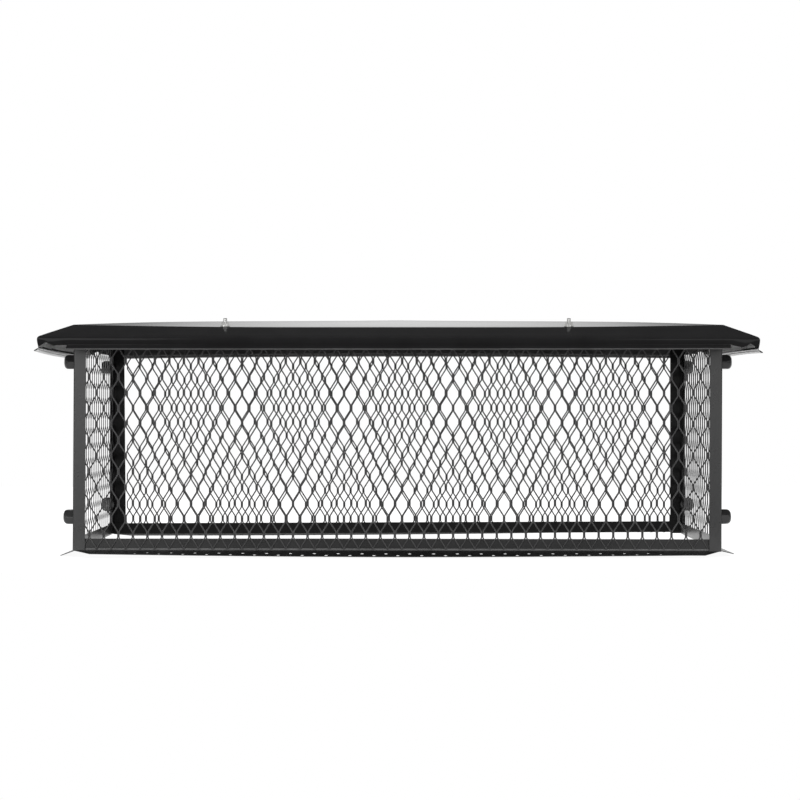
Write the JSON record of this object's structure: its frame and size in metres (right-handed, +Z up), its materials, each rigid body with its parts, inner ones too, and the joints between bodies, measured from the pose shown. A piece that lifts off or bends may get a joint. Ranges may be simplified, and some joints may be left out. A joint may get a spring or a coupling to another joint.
{
  "type": "chimney cap",
  "caption": "Long rectangular multi-flue chimney cap in black sheet steel: hipped overhanging lid on corner posts, expanded-metal mesh walls, sloped screw-down base flanges.",
  "frame": {"origin": "middle of the base, on the plane of the base flanges' lowest edges", "axes": "+X along the cap's length, -Y towards the front long wall, +Z up towards the lid"},
  "size_m": [1.1486, 0.539, 0.3875],
  "materials": {
    "lid_enamel": "semi-gloss black paint",
    "frame_enamel": "semi-gloss black paint",
    "mesh_enamel": "satin black paint",
    "fastener_enamel": "satin black paint",
    "zinc_plate": "bright zinc plate"
  },
  "bodies": {
    "root": {"base_rail_back": "frame_enamel", "base_rail_front": "frame_enamel", "base_rail_left": "frame_enamel", "base_rail_right": "frame_enamel", "cap_nut_back_left_high": "fastener_enamel", "cap_nut_back_left_low": "fastener_enamel", "cap_nut_back_right_high": "fastener_enamel", "cap_nut_back_right_low": "fastener_enamel", "cap_nut_front_left_high": "fastener_enamel", "cap_nut_front_left_low": "fastener_enamel", "cap_nut_front_right_high": "fastener_enamel", "cap_nut_front_right_low": "fastener_enamel", "corner_bolt_back_left_high": "fastener_enamel", "corner_bolt_back_left_low": "fastener_enamel", "corner_bolt_back_right_high": "fastener_enamel", "corner_bolt_back_right_low": "fastener_enamel", "corner_bolt_front_left_high": "fastener_enamel", "corner_bolt_front_left_low": "fastener_enamel", "corner_bolt_front_right_high": "fastener_enamel", "corner_bolt_front_right_low": "fastener_enamel", "lid": "lid_enamel", "lid_bolt_back_left": "zinc_plate", "lid_bolt_back_right": "zinc_plate", "lid_bolt_front_left": "zinc_plate", "lid_bolt_front_right": "zinc_plate", "lid_nut_back_left": "zinc_plate", "lid_nut_back_right": "zinc_plate", "lid_nut_front_left": "zinc_plate", "lid_nut_front_right": "zinc_plate", "lid_washer_back_left": "zinc_plate", "lid_washer_back_right": "zinc_plate", "lid_washer_front_left": "zinc_plate", "lid_washer_front_right": "zinc_plate", "mesh_back": "mesh_enamel", "mesh_front": "mesh_enamel", "mesh_left": "mesh_enamel", "mesh_right": "mesh_enamel", "post_back_left": "frame_enamel", "post_back_right": "frame_enamel", "post_front_left": "frame_enamel", "post_front_right": "frame_enamel", "top_rail_back": "frame_enamel", "top_rail_front": "frame_enamel", "top_rail_left": "frame_enamel", "top_rail_right": "frame_enamel"}
  },
  "joints": []
}
